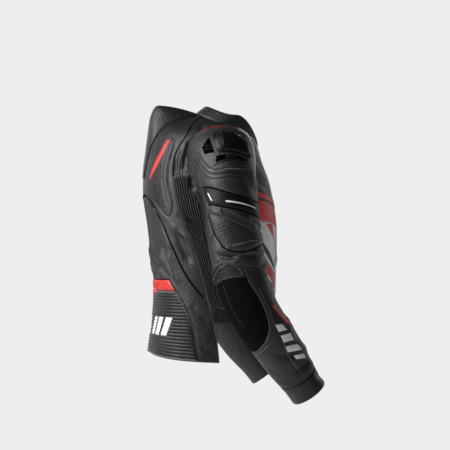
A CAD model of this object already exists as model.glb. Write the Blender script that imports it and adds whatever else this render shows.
"""Looks of the leather motorcycle jacket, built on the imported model.

Sizes are in millimetres and are scaled once, when the meshes are made.  The forms, seams and
pieces are the CAD source's own: a torso given by (angle, level) and a sleeve given by
(turn, length).  Each cloth node is replaced by a finer shell between the same seams, with the
creases, ribs, rolled edges, piping and stitches that the solids leave out.
"""

import itertools
import math
from collections import defaultdict

import bmesh
import bpy
import numpy as np
from mathutils import Matrix, Vector
from mathutils.bvhtree import BVHTree
from mathutils.kdtree import KDTree


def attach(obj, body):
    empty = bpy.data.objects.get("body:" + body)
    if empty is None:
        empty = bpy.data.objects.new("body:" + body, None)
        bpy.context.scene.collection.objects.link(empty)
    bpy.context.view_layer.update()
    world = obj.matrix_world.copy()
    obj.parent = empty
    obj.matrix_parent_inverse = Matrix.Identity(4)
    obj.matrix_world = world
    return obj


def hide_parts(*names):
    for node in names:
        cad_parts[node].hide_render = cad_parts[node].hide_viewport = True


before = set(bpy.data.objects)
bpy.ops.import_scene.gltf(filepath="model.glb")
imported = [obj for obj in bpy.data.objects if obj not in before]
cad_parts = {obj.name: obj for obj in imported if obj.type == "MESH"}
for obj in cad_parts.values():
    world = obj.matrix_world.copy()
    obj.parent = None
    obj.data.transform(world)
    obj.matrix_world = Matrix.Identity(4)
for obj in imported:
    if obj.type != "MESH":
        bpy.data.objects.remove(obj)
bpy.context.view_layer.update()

# ---------------------------------------------------------------- driving sizes, millimetres
MM = 0.001
WALL = 1.8
RIM_WIDTH = 4.0
RIM_DROP = 1.5
BASE_GAP = 0.7
HUMP_GAP = 0.8
LAY_ON_GAP = 0.35
COLLAR_HEIGHT = 30.0
COLLAR_TAPER = 0.10
ZIP_TAPE_WIDTH = 26.0
BASE_HEIGHT = 5.0
PLATE_HEIGHT = 6.0
KIDNEY_RIB = 2.4
SIDE_RIB = 3.6
SIDE_RIB_PITCH = 4.9
ELBOW_RIB = 3.4
PANEL_RISE = 3.0
BAND_RISE = 1.2
BACK_BAND_RISE = 0.8
CREASE_DEPTH = 1.25  # how much deeper every crease is than its table says
FOLD_TAPER = 0.2  # how fast a fold fades past its middle half, as a share of its length
CREASE_TAPER = 0.16
FOLD_MIDDLE = 0.25  # the share to each side of a fold's middle where it is whole
SOFT_LUMPS = ((0.5, 52.0), (0.10, 19.0))  # height and size of the leather's unevenness
WRINKLE_DEPTH = 0.35
WRINKLE_SIZE = 21.0
WRINKLE_WIDTH = 0.14
KIDNEY_RIBS = 21
ELBOW_RIBS = 8
THIN_RIB_WIDTH = 0.5  # of its pitch
STITCH = (2.6, 4.2, 0.42)  # length, pitch and radius of a stitch
STITCH_SIDE = 2.9  # from a seam to the stitches along it
STITCH_LIFT = 0.12
HOLE_LIFT = 0.03
BEAD_LIFT = 0.1
TOOTH = (2.5, 0.75, 0.75)  # half-length, half-width and height of a zip tooth
TOOTH_PITCH = 1.6
TOOTH_SHIFT = 1.3  # from the zip's middle line to a tooth's
AROUND_TORSO = 2.8  # mm a degree, for folds and flat coordinates
AROUND_SLEEVE = 1.0
SEAM_FINER = 8  # how much finer than its steps a seam is drawn for piping and stitches
# The worn look: full on crests this high, and on a line this far inside the rim.
CREST_HEIGHT = 5.0
CREST_WORN = 0.35
RIM_WORN = 0.25
RIM_WORN_PLACE = 3.0
RIM_WORN_WIDTH = 1.6

# Columns: v half_width side_y side_z front_y front_z back_y back_z squareness
TORSO_SECTIONS = (
    (-560, 174, 38, -560, -92, -560, 186, -560, 2.4),
    (-515, 170, 38, -515, -98, -515, 183, -515, 2.4),
    (-470, 163, 38, -470, -106, -470, 177, -470, 2.4),
    (-430, 157, 38, -430, -112, -430, 172, -430, 2.4),
    (-385, 153, 38, -385, -117, -385, 169, -385, 2.4),
    (-330, 154, 38, -330, -120, -330, 171, -330, 2.4),
    (-280, 158, 38, -280, -121, -280, 177, -280, 2.4),
    (-233, 162, 38, -233, -121, -233, 182, -233, 2.4),
    (-190, 165, 38, -190, -118, -192, 188, -190, 2.4),
    (-150, 166, 38, -150, -113, -157, 194, -150, 2.35),
    (-110, 168, 36, -108, -106, -124, 196, -105, 2.3),
    (-70, 170, 34, -66, -97, -99, 192, -60, 2.25),
    (-35, 169, 31, -28, -86, -83, 183, -22, 2.2),
    (-10, 163, 27, -5, -81, -72, 172, 5, 2.15),
    (15, 148, 22, 11, -79, -62, 152, 28, 2.1),
    (45, 118, 14, 20, -76, -55, 122, 44, 2.05),
    (75, 90, 6, 27, -73, -50, 93, 53, 2.0),
    (97, 68, 2, 31, -70, -47, 72, 57, 2.0),
)
NECK = 97.0

# Columns: s centre_x centre_y centre_z outer roll pitch front back
SLEEVE_RINGS = (
    (0, -157.5, 38, -61, 76, 96, 0, 80, 78),
    (35, -178, 37, -64, 84, 83.5, 0, 78, 78),
    (70, -197, 35, -75, 86, 72, 0, 72, 76),
    (105, -212, 33, -91.5, 82, 61, 0, 66, 72),
    (150, -223, 30, -117, 75.8, 48.7, 0, 62, 67),
    (200, -231.5, 28, -149, 68.6, 34.6, 2, 61, 64),
    (250, -237.5, 26, -184, 64.2, 22, 4, 61, 62.5),
    (300, -243, 23, -226, 60.5, 13, 6, 62, 62),
    (350, -249, 17, -276, 58, 8, 11, 61, 61),
    (400, -255, 8, -325, 57, 6, 17, 60, 60),
    (440, -259, -3, -363, 57, 4, 23, 59.5, 59.5),
    (480, -262, -19, -400, 55, 1, 29, 57, 57),
    (520, -262, -40, -434, 53, -2, 33, 55, 57),
    (560, -260, -64, -466, 51, -5, 35, 53, 56),
    (620, -255, -98, -516, 48, -6, 36, 49.5, 52),
    (680, -248, -132, -564, 44, -7, 36, 43, 44),
    (712, -245, -151, -590, 44, -7, 36, 43, 43.5),
)
SLEEVE_END = 712.0
ARMHOLE_BLEND = 110.0
ARMHOLE_ANGLE = 91.0
ARMHOLE_HALF_ANGLE = 28.0
ARMHOLE_TOP_FLARE = 5.0
ARMHOLE_SQUARE = 0.85
ARMHOLE_LEVEL = -60.0
ARMHOLE_HALF_HEIGHT = 75.0

# Columns: v ridge_y ridge_z half_width flatness
HUMP_ROWS = (
    (90, 77, 57.5, 33, 2.0),
    (76, 92, 62, 40, 2.4),
    (60, 112, 67, 44, 2.8),
    (42, 136, 71.5, 46, 3.0),
    (24, 156, 73.5, 46, 3.0),
    (8, 168, 70, 43, 2.8),
    (-6, 177, 52, 40, 2.6),
    (-24, 182, 26, 34, 2.4),
    (-46, 187, -12, 27, 2.2),
    (-72, 192, -52, 20, 2.0),
    (-104, 197, -98, 10, 2.0),
)
SLIDER_BASE = ((-59, 80), (38, 76), (42, 146), (-44, 158))
SLIDER_PLATE = ((-27, 75), (36, 101), (40, 142), (-29, 134))

# ---------------------------------------------------------------- folds and creases
# A line on the form, bowed sideways at its middle, with its half-width and its rise; a trough is
# below zero.  The first tables are the solids' own folds, and the others are finer creases.
# Columns: angle and level (or turn and length) of one end, of the other, bow, half_width, rise.
RIGHT_TORSO_FOLDS = (
    (168, -262, 146, -300, 0, 13, 4.0),
    (176, -292, 150, -322, 0, 11, 3.5),
    (146, -214, 132, -268, 0, 12, 3.0),
    (70, -200, 40, -250, 0, 14, 4.0),
    (75, -300, 30, -340, 0, 14, 3.5),
)
SLEEVE_FOLDS = (
    (150, 150, 215, 190, 0, 13, 5.0),
    (140, 205, 225, 240, 0, 12, -4.0),
    (60, 395, 125, 372, 0, 12, 5.0),
    (70, 425, 140, 400, 0, 12, -4.5),
    (65, 452, 135, 432, 0, 12, 4.5),
    (-70, 335, 40, 352, 0, 11, 3.0),
    (20, 600, 90, 618, 0, 12, 3.5),
    (-60, 590, 10, 622, 0, 12, 3.0),
    (10, 645, 80, 655, 0, 10, 2.5),
)
TORSO_CREASES = (
    # The back, below the shoulder blade and down to the waist.
    (160, -140, 137, -316, -12, 11, -3.4),
    (150, -172, 131, -312, 6, 13, 4.4),
    (134, -204, 112, -243, 4, 7, 3.4),
    (128, -212, 114, -304, 4, 11, -5.2),
    (147, -240, 131, -340, 5, 9, -4.8),
    (140, -262, 124, -352, 5, 8, 3.0),
    (127, -350, 152, -292, -7, 9, -2.6),
    (179, -258, 156, -326, 7, 10, -3.2),
    (171, -278, 148, -336, 5, 10, 2.4),
    (126, -180, 112, -206, 5, 7, -2.4),
    (116, -392, 98, -430, 4, 9, -1.6),
    (107, -486, 93, -500, 3, 8, -1.2),
    # Above the side ribs, where the yoke starts to pleat.
    (127.5, -60, 128, -99, 0, 2.4, -2.2),
    (125.5, -56, 126, -99, 0, 2.4, -2.2),
    (123.5, -64, 124, -99, 0, 2.4, -2.0),
    # The yoke, over the shoulder.
    (120, 40, 100, -6, 4, 8, -2.4),
    (112, 52, 88, 20, -4, 8, 1.8),
    (124, 20, 119, -60, 3, 6, 1.0),
    (118, -26, 121.5, -96, 2, 4.5, -5.0),
    (114.5, -98, 112.5, -132, 2, 6, -6.0),
    (126, -30, 125.5, -88, 2, 5, 1.2),
    (78, 62, 62, 30, 3, 8, 1.6),
    # The chest and the front, pulled from the armhole and the waist.
    (66, -60, 34, -96, 6, 10, 2.2),
    (64, -88, 30, -140, 6, 9, -2.4),
    (60, -120, 24, -158, -5, 9, 2.0),
    (84, -150, 52, -206, 6, 9, -2.0),
    (96, -190, 66, -262, 8, 10, 2.4),
    (98, -240, 70, -330, 8, 9, -2.6),
    (90, -300, 50, -362, 7, 10, 2.6),
    (92, -340, 48, -392, 7, 9, -2.4),
    (60, -330, 16, -372, 6, 9, 1.8),
    (48, -250, 12, -300, 6, 11, 1.8),
    (40, -286, 8, -340, -5, 9, -1.8),
    (30, -390, 10, -398, 2, 6, 1.4),
    (80, -408, 40, -424, 3, 6, -1.2),
)
SLEEVE_CREASES = (
    # The armpit, where the sleeve hangs from the yoke.
    (-116, 6, -124, 70, 4, 5, -4.0),
    (-113, 22, -117, 50, 0, 5, -4.0),
    (-119, 62, -123, 88, 3, 7, -7.0),
    (-110, 52, -112, 96, 5, 5, 3.6),
    (-128, 58, -132, 92, -3, 5, 2.8),
    (-106, 16, -108, 56, 2, 4, 3.4),
    (-104, 10, -100, 92, 3, 6, 2.6),
    (-128, 30, -150, 120, 6, 7, -3.2),
    (-112, 70, -138, 150, 5, 7, 2.6),
    (-120, 118, -160, 176, 5, 7, -2.8),
    (-88, 120, -82, 168, 3, 6, 1.6),
    (128, 20, 150, 110, 5, 8, -2.6),
    (112, 60, 140, 150, 5, 8, 2.4),
    (96, 60, 118, 140, -4, 8, -2.0),
    (-84, 70, -76, 116, 4, 6, -1.8),
    # The cap's smooth lower half.
    (-60, 186, 30, 196, 5, 9, 1.2),
    (20, 168, 62, 222, 6, 10, -1.4),
    (44, 150, 84, 206, 5, 9, 1.6),
    # Under the band, where the loose cloth gathers.
    (-60, 248, -24, 268, 3, 5, 1.6),
    (-36, 256, 10, 282, 3, 5, -1.6),
    (-6, 268, 40, 290, 3, 5, 1.6),
    (28, 280, 66, 300, 3, 5, -1.4),
    (54, 286, 88, 296, 2, 6, 1.6),
    # Over the elbow, the smile-shaped crease below the padded panel.
    (-58, 340, -4, 356, 7, 4.5, -4.4),
    (-60, 350, 6, 366, 7, 4.5, 3.2),
    (-44, 332, -20, 342, 4, 4, 2.6),
    (0, 356, 60, 360, 4, 6, -2.6),
    (20, 366, 90, 356, -4, 7, 2.4),
    (-92, 330, -70, 372, 5, 6, -2.4),
    # Inside the elbow, the deep folds of the bent arm.
    (104, 372, 150, 354, 6, 7, -3.4),
    (106, 400, 170, 388, 6, 7, -4.2),
    (106, 420, 166, 410, 6, 8, 3.4),
    (104, 444, 156, 438, 5, 7, -3.4),
    (108, 474, 156, 464, 5, 8, 2.6),
    (104, 500, 150, 504, 5, 8, -2.2),
    (34, 388, 84, 372, 5, 7, -1.6),
    (30, 416, 78, 408, 5, 8, 1.4),
    (100, 336, 190, 330, 6, 8, 2.8),
    (110, 360, 210, 352, 6, 8, -3.0),
    (150, 376, 236, 362, 6, 8, 2.8),
    (160, 402, 240, 392, 6, 8, -2.6),
    # The upper arm's inner side.
    (110, 180, 190, 150, 8, 9, -2.8),
    (120, 236, 200, 212, 8, 9, 2.6),
    (104, 280, 170, 262, 7, 9, -2.4),
    (190, 250, 246, 286, 7, 9, 2.4),
    (200, 300, 250, 330, 6, 9, -2.4),
    # The forearm and its wrist.
    (26, 560, 96, 530, 6, 9, 1.8),
    (10, 588, 80, 574, 6, 8, -2.2),
    (-30, 572, 30, 606, 5, 7, -2.2),
    (-70, 600, -10, 640, 6, 7, -2.4),
    (-50, 626, 20, 652, 5, 6, 2.4),
    (-10, 634, 60, 640, 4, 6, -2.4),
    (-84, 640, -30, 660, 4, 5, 1.8),
    (120, 560, 200, 600, 7, 9, 2.2),
    (110, 610, 190, 640, 6, 8, -2.4),
    (180, 520, 240, 560, 7, 9, -2.0),
    (200, 610, 250, 640, 6, 8, 2.2),
    # The cuff.
    (-60, 684, 0, 690, 3, 6, 1.2),
    (40, 680, 100, 694, 4, 7, -1.2),
    (150, 690, 220, 684, 4, 7, 1.2),
)

# Embossed lines: half-width and depth, then the line's places.
TORSO_LINES = (
    (2.3, -2.8, [(137.5, -14), (133.5, -22), (132.5, -38), (135.5, -92), (134, -124), (129.5, -162),
                 (133, -190), (149, -160), (162.5, -146)]),
    (2.2, -1.5, [(137.5, -26), (138.5, -46), (141, -92), (139, -124), (135, -158)]),
)
SLEEVE_LINES = (
    (2.4, -1.3, [(-93, 63), (-80, 76), (-66, 93)]),
    (1.8, -1.0, [(-62, 318), (-58, 345), (-62, 372)]),
)


def mirrored(folds):
    """The same folds on the torso's other side."""
    return tuple((360 - a0, b0, 360 - a1, b1, -bow, *rest) for a0, b0, a1, b1, bow, *rest in folds)


def varied(creases, seed):
    """Creases moved, lengthened and deepened a little, for the other side."""
    chance = np.random.default_rng(seed)
    rows = np.array(creases, float)
    rows[:, 0:4] += chance.uniform(-5, 5, (len(rows), 4))
    rows[:, 4] *= chance.uniform(-1.2, 1.4, len(rows))
    rows[:, 5] *= chance.uniform(0.85, 1.2, len(rows))
    rows[:, 6] *= chance.uniform(0.65, 1.15, len(rows))
    return rows


TORSO_FOLDS = RIGHT_TORSO_FOLDS + mirrored(RIGHT_TORSO_FOLDS)
TORSO_RISES = TORSO_CREASES + mirrored(varied(TORSO_CREASES, 3))
LEFT_SLEEVE_CREASES = varied(SLEEVE_CREASES, 5)

# ---------------------------------------------------------------- the forms
NORMAL_STEP = 0.05
RUN_SCALE = (2.0, 1.0)  # what a run's two columns weigh when its places are spaced
LINE_SAMPLES = 160
LINE_REACH = 10.0


def smooth(share):
    """From 0 to 1 with level ends."""
    share = np.clip(share, 0, 1)
    return share * share * (3 - 2 * share)


def matched(a, b):
    """Two numbers or grids as arrays of one shape."""
    return np.broadcast_arrays(np.asarray(a, float), np.asarray(b, float))


def run_up(steps, axis=0):
    """The steps added up along an axis, from 0."""
    return np.cumsum(np.insert(steps, 0, 0, axis), axis)


def squared(vectors, axes):
    """Unit vectors made square to the axes."""
    vectors = vectors - axes * (vectors * axes).sum(-1, keepdims=True)
    return vectors / np.linalg.norm(vectors, axis=-1, keepdims=True)


def spline(rows, at):
    """A natural cubic spline through rows whose first column is the place along it."""
    rows = np.asarray(rows, float)
    place, value = rows[:, 0], rows[:, 1:]
    step = np.diff(place)
    count = len(place)
    system = np.eye(count)
    bend = np.zeros((count, value.shape[1]))
    for i in range(1, count - 1):
        system[i, i - 1 : i + 2] = step[i - 1], 2 * (step[i - 1] + step[i]), step[i]
        bend[i] = 6 * ((value[i + 1] - value[i]) / step[i] - (value[i] - value[i - 1]) / step[i - 1])
    curve = np.linalg.solve(system, bend)
    at = np.asarray(at, float)
    flat = at.ravel()
    i = np.clip(np.searchsorted(place, flat) - 1, 0, count - 2)
    width = step[i][:, None]
    after = (flat - place[i])[:, None] / width
    before = 1 - after
    line = before * value[i] + after * value[i + 1]
    line += width**2 / 6 * ((before**3 - before) * curve[i] + (after**3 - after) * curve[i + 1])
    return np.moveaxis(line.reshape(at.shape + (value.shape[1],)), -1, 0)


def through(places):
    """A smooth run through the places, straight when there are two."""
    places = np.asarray(places, float)
    if len(places) == 2:
        return lambda share: places[0] + (places[1] - places[0]) * np.asarray(share)[:, None]
    steps = np.linalg.norm(np.diff(places, axis=0) * RUN_SCALE, axis=1)
    return lambda share: spline(np.column_stack([run_up(steps) / steps.sum(), places]), share).T


def fold_rise(a, b, folds, around, taper):
    """How far the folds lift each place; around is mm a degree and taper is how fast ends fade."""
    rise = np.zeros(a.shape)
    for a0, b0, a1, b1, bow, half_width, height in folds:
        along = np.array([(a1 - a0) * around, b1 - b0])
        length = np.linalg.norm(along)
        turn = (a - a0 + 180) % 360 - 180
        side = np.stack([turn * around, b - b0], -1)
        place = side @ along / length**2
        off = side @ np.array([-along[1], along[0]]) / length
        off = off - bow * (1 - (2 * place - 1) ** 2)
        fade = np.exp(-((np.clip(np.abs(place - 0.5) - FOLD_MIDDLE, 0, None) / taper) ** 2))
        rise += height * fade * np.exp(-((off / half_width) ** 2))
    return rise


def line_rise(a, b, lines, around):
    """How far the embossed lines lift each place."""
    rise = np.zeros(a.shape)
    flat = np.stack([a * around, b], -1).reshape(-1, 2)
    for half_width, depth, places in lines:
        run = through(places)(np.linspace(0, 1, LINE_SAMPLES)) * (around, 1)
        near = np.full(len(flat), np.inf)
        close = (flat >= run.min(0) - LINE_REACH).all(1) & (flat <= run.max(0) + LINE_REACH).all(1)
        if close.any():
            near[close] = np.linalg.norm(flat[close][:, None] - run[None], axis=2).min(1)
        rise += (depth * np.exp(-((near / half_width) ** 2))).reshape(a.shape)
    return rise


def torso_plain(angle, level):
    """The torso at an angle (0 front, 90 wearer's right, 180 back) and a level."""
    angle, level = matched(angle, level)
    half_width, side_y, side_z, front_y, front_z, back_y, back_z, square = spline(TORSO_SECTIONS, level)
    turn = np.radians(angle)
    front = np.cos(turn)
    side = np.sin(turn)
    depth = np.where(front > 0, side_y - front_y, back_y - side_y)
    reach = ((np.abs(side) / half_width) ** square + (np.abs(front) / depth) ** square) ** (-1 / square)
    tilt = np.where(front > 0, front_z - side_z, back_z - side_z) * front**2
    return np.stack([-reach * side, side_y - reach * front, side_z + tilt], -1)


def armhole(turn):
    """The armhole's (angle, level) on the torso; turn is 0 at the top and 90 at the front."""
    turn = np.radians(np.asarray(turn, float))
    side = np.sign(np.sin(turn)) * np.abs(np.sin(turn)) ** ARMHOLE_SQUARE
    angle = ARMHOLE_ANGLE - (ARMHOLE_HALF_ANGLE + ARMHOLE_TOP_FLARE * np.cos(turn)) * side
    return angle, ARMHOLE_LEVEL + ARMHOLE_HALF_HEIGHT * np.cos(turn)


def sleeve_tube(turn, length):
    """The right sleeve from its rings alone, before its top is drawn to the armhole."""
    turn, length = matched(turn, length)
    x, y, z, outer, roll, pitch, front, back = spline(SLEEVE_RINGS, length)
    turn, roll, pitch = np.radians(turn), np.radians(roll), np.radians(pitch)
    flat = np.zeros_like(roll)
    forward = np.stack([flat, -np.cos(pitch), np.sin(pitch)], -1)
    outward = squared(np.stack([-np.cos(roll), flat, np.sin(roll)], -1), forward)
    reach = np.where(np.sin(turn) > 0, front, back) * np.sin(turn)
    centre = np.stack([x, y, z], -1)
    return centre + outward * (outer * np.cos(turn))[..., None] + forward * reach[..., None]


def sleeve_plain(turn, length):
    """The right sleeve; turn is 0 outside, 90 at the front; its first ring is the armhole."""
    turn, length = matched(turn, length)
    miss = torso_plain(*armhole(turn)) - sleeve_tube(turn, np.zeros_like(length))
    return sleeve_tube(turn, length) + miss * smooth(1 - length / ARMHOLE_BLEND)[..., None]


def collar_plain(angle, height):
    """The stand-up collar: the neck ring moved square to its own tilted plane."""
    ring = torso_plain(angle, NECK)
    front, back = torso_plain(0, NECK), torso_plain(180, NECK)
    middle = (front + back) / 2
    lean = (back - front) / np.linalg.norm(back - front)
    up = np.array([0, -lean[2], lean[1]])
    height = np.asarray(height, float)[..., None]
    return ring + up * height - (ring - middle) * COLLAR_TAPER * height / COLLAR_HEIGHT


def normals_of(form, a, b):
    """A form's unit normals at places, which point out of the jacket."""
    across = form(a + NORMAL_STEP, b) - form(a - NORMAL_STEP, b)
    along = form(a, b + NORMAL_STEP) - form(a, b - NORMAL_STEP)
    normal = np.cross(along, across)
    return normal / np.linalg.norm(normal, axis=-1, keepdims=True)


def tape_edge(level):
    """The angle at which the torso's front is half a zip tape away from the middle."""
    _, side_y, _, front_y, *_ = spline(TORSO_SECTIONS, np.asarray(level, float))
    return np.degrees(np.arctan(ZIP_TAPE_WIDTH / 2 / (side_y - front_y)))


# ---------------------------------------------------------------- skins
# A skin gives points and outward normals for places.  The left side is drawn with the same
# places as the right, and its own skin puts them on the other side with its own creases.

NOISE_CELLS = 24
NOISE_MIDDLE = 200  # keeps every place on the jacket above zero cells
NOISE = np.random.default_rng(7).uniform(-1, 1, (NOISE_CELLS,) * 3)


def cloud(points, size):
    """Smooth noise from about -1 to 1 whose lumps are that many mm across."""
    place = points / size + NOISE_MIDDLE
    cell = np.floor(place).astype(int)
    share = smooth(place - cell)
    total = np.zeros(points.shape[:-1])
    for corner in itertools.product((0, 1), repeat=3):
        weight = np.where(corner, share, 1 - share).prod(-1)
        at = (cell + corner) % NOISE_CELLS
        total += weight * NOISE[at[..., 0], at[..., 1], at[..., 2]]
    return total


def uneven(points):
    """The slight unevenness of worn leather: soft lumps and a few faint wrinkles."""
    soft = sum(height * cloud(points, size) for height, size in SOFT_LUMPS)
    wrinkle = np.clip(WRINKLE_WIDTH - np.abs(cloud(points, WRINKLE_SIZE)), 0, None) / WRINKLE_WIDTH
    return soft - WRINKLE_DEPTH * wrinkle


def torso_skin(angle, level):
    """Plain points, outward normals and rises of the torso."""
    angle, level = matched(angle, level)
    plain = torso_plain(angle, level)
    rise = fold_rise(angle, level, TORSO_FOLDS, AROUND_TORSO, FOLD_TAPER)
    rise += CREASE_DEPTH * fold_rise(angle, level, TORSO_RISES, AROUND_TORSO, CREASE_TAPER)
    rise += line_rise(180 - np.abs(angle - 180), level, TORSO_LINES, AROUND_TORSO)
    return plain, normals_of(torso_plain, angle, level), rise + uneven(plain)


def sleeve_skin(turn, length, creases=SLEEVE_CREASES, side=1):
    """Plain points, outward normals and rises of the right sleeve."""
    turn, length = matched(turn, length)
    plain = sleeve_plain(turn, length)
    rise = fold_rise(turn, length, SLEEVE_FOLDS, AROUND_SLEEVE, FOLD_TAPER)
    rise += CREASE_DEPTH * fold_rise(turn, length, creases, AROUND_SLEEVE, CREASE_TAPER)
    rise += line_rise((turn + 180) % 360 - 180, length, SLEEVE_LINES, AROUND_SLEEVE)
    return plain, normals_of(sleeve_plain, turn, length), rise + uneven(plain * (side, 1, 1))


def left_sleeve_skin(turn, length):
    """The left sleeve: the right one's mirror image, with creases of its own."""
    plain, normal, rise = sleeve_skin(turn, length, LEFT_SLEEVE_CREASES, -1)
    return plain * (-1, 1, 1), normal * (-1, 1, 1), rise


def collar_skin(angle, height):
    """Plain points, outward normals and rises of the collar."""
    angle, height = matched(angle, height)
    plain = collar_plain(angle, height)
    return plain, normals_of(collar_plain, angle, height), 0.5 * uneven(plain)


def other_side(skin):
    """A torso's or a collar's skin for places counted round the other side."""
    return lambda angle, level: skin(360 - np.asarray(angle, float), level)


SKINS = {
    "torso": (torso_skin, torso_plain),
    "torso_l": (other_side(torso_skin), torso_plain),
    "sleeve_r": (sleeve_skin, sleeve_plain),
    "sleeve_l": (left_sleeve_skin, sleeve_plain),
    "collar": (collar_skin, collar_plain),
    "collar_l": (other_side(collar_skin), collar_plain),
}


# ---------------------------------------------------------------- seams
# A seam is (steps, run): run gives its place at a share of its length.

NECK_SHOULDER = 91.0
YOKE_NECK = 145.5
FRONT_NECK = 40.0
ARM_CUTS = {
    "arm_back": (6, -115, 0),
    "arm_top": (2, 0, 40),
    "arm_front": (4, 40, 125),
    "arm_under": (4, 125, 210),
    "arm_under_back": (2, 210, 245),
}
CHEST_CORNER = (62, -146)
TAPE_LEVELS = (
    ("chest", -95, 4),
    ("chest_low", -185, 2),
    ("stripe_low", -232, 2),
    ("hem_top", -404, 7),
    ("hem", -436, 2),
)

TORSO_SEAMS = {
    "neck_back": (5, [(180, NECK), (YOKE_NECK, NECK)]),
    "neck_shoulder": (5, [(YOKE_NECK, NECK), (NECK_SHOULDER, NECK)]),
    "neck_side": (2, [(NECK_SHOULDER, NECK), (FRONT_NECK, NECK)]),
    "yoke_high": (3, [(YOKE_NECK, NECK), (138, 72), (131, 48)]),
    "yoke_low": (6, [(131, 48), (123, 4), (124.5, -24), (128, -46), (129.5, -100)]),
    "yoke_middle": (5, [(131, 48), (NECK_SHOULDER, 15)]),
    "shoulder": (3, [(NECK_SHOULDER, 15), (NECK_SHOULDER, NECK)]),
    "stretch_top": (3, [(129.5, -100), (122.5, -94)]),
    "stretch_back": (12, [(129.5, -100), (123.5, -172), (115, -246), (107.5, -314), (101.6, -378)]),
    "stretch_foot_back": (1, [(101.6, -378), (98, -412)]),
    "stretch_foot": (3, [(98, -412), (90, -402)]),
    "side_high": (2, [(122.5, -94), (119, -108), (114, -130)]),
    "side_chest": (2, [(114, -130), (107.8, -158), (106.5, -180)]),
    "side_stripe": (2, [(106.5, -180), (104.5, -215)]),
    "side_panel": (7, [(104.5, -215), (100, -278), (96, -326), (93.5, -370), (90, -402)]),
    "centre_back": (11, [(180, NECK), (180, -138)]),
    "long_high": (5, [(180, -138), (163, -150), (139, -220), (126.5, -292)]),
    "long_low": (5, [(126.5, -292), (120.5, -322), (112.5, -352), (104.5, -376)]),
    "long_tip": (1, [(104.5, -376), (101.6, -378)]),
    "waist_centre": (5, [(180, -138), (180, -338)]),
    "waist_turn": (5, [(126.5, -292), (140, -336)]),
    "band_centre": (1, [(180, -338), (180, -362)]),
    "band_top": (5, [(180, -338), (140, -336)]),
    "band_end": (1, [(140, -336), (131, -362)]),
    "kidney_centre": (14, [(180, -362), (180, -512)]),
    "kidney_top": (5, [(180, -362), (131, -362)]),
    "kidney_side": (14, [(131, -362), (118, -410), (112, -456), (106.5, -524)]),
    "kidney_hem": (5, [(180, -512), (151.5, -516), (131, -520), (106.5, -524)]),
    "waist_hem": (5, [(106.5, -524), (92, -526)]),
    "waist_front": (2, [(98, -412), (96, -436)]),
    "waist_edge": (6, [(96, -436), (94, -466), (92, -526)]),
    "hem_low_side": (3, [(96, -436), (88, -437)]),
    "chest_low_side": (6, [(106.5, -180), (84, -166), CHEST_CORNER]),
}
SLEEVE_SEAMS = {
    "cap_back": (4, [(-115, 0), (-101, 117), (-84, 172)]),
    "cap_front": (4, [(125, 0), (110, 120), (90, 212)]),
    "cap_low": (12, [(-84, 172), (-40, 208), (-7, 228), (40, 238), (64, 236), (90, 212)]),
    "band_back": (2, [(-84, 172), (-66, 234)]),
    "band_front": (2, [(90, 212), (92, 262)]),
    "band_low": (12, [(-66, 234), (-9, 261), (37, 273), (66, 277), (92, 262)]),
    "fold_back": (1, [(-66, 234), (-70, 254)]),
    "fold_front": (1, [(92, 262), (94, 300)]),
    "panel_top": (12, [(-70, 254), (-11, 288), (55, 312), (94, 300)]),
    "panel_back": (2, [(-70, 254), (-56, 305)]),
    "panel_front": (2, [(94, 300), (95, 335)]),
    "panel_low": (12, [(-56, 305), (-32, 336), (-18, 345), (14, 351), (54, 343), (95, 335)]),
    "lower_back": (3, [(-56, 305), (-82, 335), (-98, 375)]),
    "lower_front": (3, [(95, 335), (95, 388)]),
    "elbow_top": (7, [(-98, 375), (-60, 364), (-33, 362), (-1, 380)]),
    "bend": (5, [(-1, 380), (40, 392), (95, 388)]),
    "bend_inner": (6, [(95, 388), (180, 380), (262, 375)]),
    "elbow_back": (2, [(-98, 375), (-98, 402)]),
    "elbow_front": (2, [(-1, 380), (1, 404)]),
    "elbow_low": (7, [(-98, 402), (-47, 397), (1, 404)]),
    "patch_back": (8, [(-98, 402), (-98, 555)]),
    "patch_front": (8, [(1, 404), (16, 459), (16, 489), (6, 519), (-6, 533), (-30, 547)]),
    "patch_low": (7, [(-98, 555), (-60, 554), (-30, 547)]),
    "forearm_front": (10, [(95, 388), (95, 560)]),
    "forearm_turn": (5, [(-30, 547), (20, 560), (95, 560)]),
    "wrist_back": (3, [(-98, 555), (-98, 664)]),
    "wrist_front": (3, [(95, 560), (95, 668)]),
    "cuff_seam": (12, [(-98, 664), (0, 671), (95, 668)]),
    "cuff_seam_inner": (6, [(95, 668), (180, 662), (262, 664)]),
    "cuff_back": (2, [(-98, 664), (-98, SLEEVE_END)]),
    "cuff_front": (2, [(95, 668), (95, SLEEVE_END)]),
    "cuff_end": (12, [(-98, SLEEVE_END), (95, SLEEVE_END)]),
    "cuff_end_inner": (6, [(95, SLEEVE_END), (262, SLEEVE_END)]),
}


def across_front(start, level, lift):
    """A run across the front from a place at the side to the zip tape's edge."""
    end = (float(tape_edge(level)), level)
    half = ((start[0] + end[0]) / 2, (start[1] + level) / 2 + lift)
    return through([start, half, end])


def down_front(angle_at, top, low):
    """A run down the front at the angles that go with its levels."""

    def run(share):
        level = top + (low - top) * share
        return np.column_stack([angle_at(level), level])

    return run


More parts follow.
